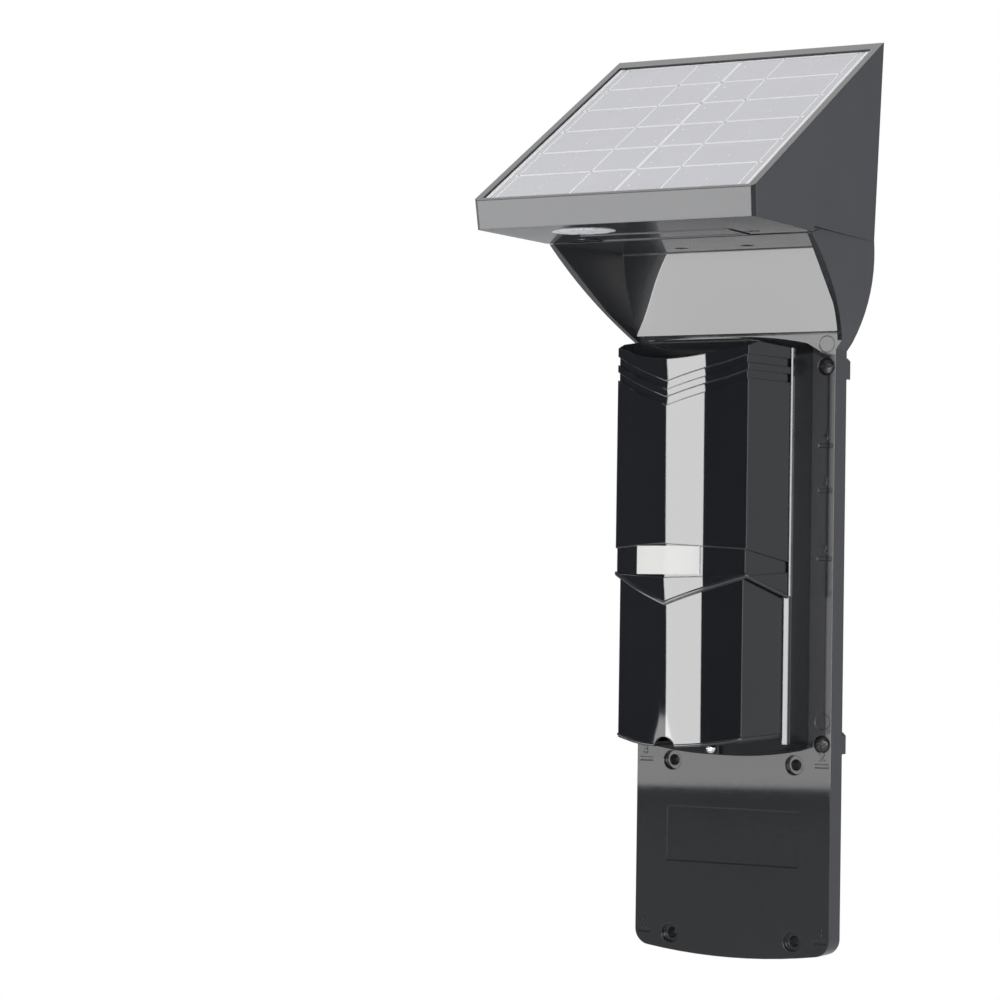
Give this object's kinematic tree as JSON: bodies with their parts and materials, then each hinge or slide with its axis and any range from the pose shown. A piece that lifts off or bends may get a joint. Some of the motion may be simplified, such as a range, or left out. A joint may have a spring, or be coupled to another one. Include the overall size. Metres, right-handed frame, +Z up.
{
  "type": "infrared beam detector",
  "caption": "Wall-mounted solar powered infrared beam detector with a hooded bracket, wedge-shaped panel housing and a faceted dark cover over aimable optics.",
  "frame": {"origin": "centre of the four wall screws, on the wall plane at the back of the rear bars", "axes": "+Z up the plate, +Y into the wall, +X to the right seen from the front; the beams leave towards -Y"},
  "size_m": [0.1446, 0.1572, 0.4465],
  "materials": {
    "battery_sleeve": "plain blue cell sleeve",
    "black_base": "glossy black moulded plastic",
    "black_screw": "blackened screw head",
    "black_shell": "moulded charcoal black plastic, glossy front faces and fine-textured sides",
    "circuit_board": "green circuit board",
    "dark_window": "mirror-gloss black plastic that passes infrared light",
    "inner_plastic": "plain black inner moulding",
    "lens_clear": "clear moulded lens",
    "panel_glass": "clear cover sheet of the panel",
    "soft_rubber": "soft black seal",
    "solar_cells": "pale lavender grey cells on a white backing sheet",
    "steel_screw": "plated steel screw",
    "terminal_plastic": "green terminal strip",
    "vent_foil": "pale crinkled vent membrane",
    "white_badge": "plain white badge",
    "yoke_steel": "bent zinc plated sheet"
  },
  "bodies": {
    "case": {"badge_plate": "white_badge", "bar_screw_lower_left": "black_screw", "bar_screw_lower_right": "black_screw", "bar_screw_upper_left": "black_screw", "bar_screw_upper_right": "black_screw", "base_screw_lower_left": "steel_screw", "base_screw_lower_right": "steel_screw", "base_screw_upper_left": "steel_screw", "base_screw_upper_right": "steel_screw", "battery_cell_1": "battery_sleeve", "battery_cell_2": "battery_sleeve", "battery_cell_3": "battery_sleeve", "battery_hatch": "black_shell", "battery_holder": "inner_plastic", "charge_board": "circuit_board", "cover_gasket": "soft_rubber", "cover_screw": "steel_screw", "detector_base": "black_base", "detector_cover": "dark_window", "holder_screw_left": "steel_screw", "holder_screw_right": "steel_screw", "housing_screw_1": "steel_screw", "housing_screw_2": "steel_screw", "main_board": "circuit_board", "mounting_bracket": "black_shell", "pan_arm_lower": "inner_plastic", "pan_arm_upper": "inner_plastic", "rear_bar_lower": "black_shell", "rear_bar_upper": "black_shell", "solar_cell_sheet": "solar_cells", "solar_housing": "black_shell", "solar_panel_glass": "panel_glass", "tamper_switch": "inner_plastic", "terminal_block": "terminal_plastic", "vent_pad": "vent_foil", "wire_grommet": "soft_rubber"},
    "pan": {"pan_yoke": "yoke_steel"},
    "optics": {"optic_block": "inner_plastic", "lens_upper": "lens_clear", "lens_lower": "lens_clear", "alignment_sight": "inner_plastic"}
  },
  "joints": [
    {"name": "pan_turn", "type": "hinge", "parent": "case", "child": "pan", "pos_m": [0, -0.058, 0.15225], "axis": [0, 0, 1], "range_deg": [-90, 90]},
    {"name": "tilt_turn", "type": "hinge", "parent": "pan", "child": "optics", "pos_m": [0, -0.058, 0.15225], "axis": [1, 0, 0], "range_deg": [-10, 10]}
  ]
}
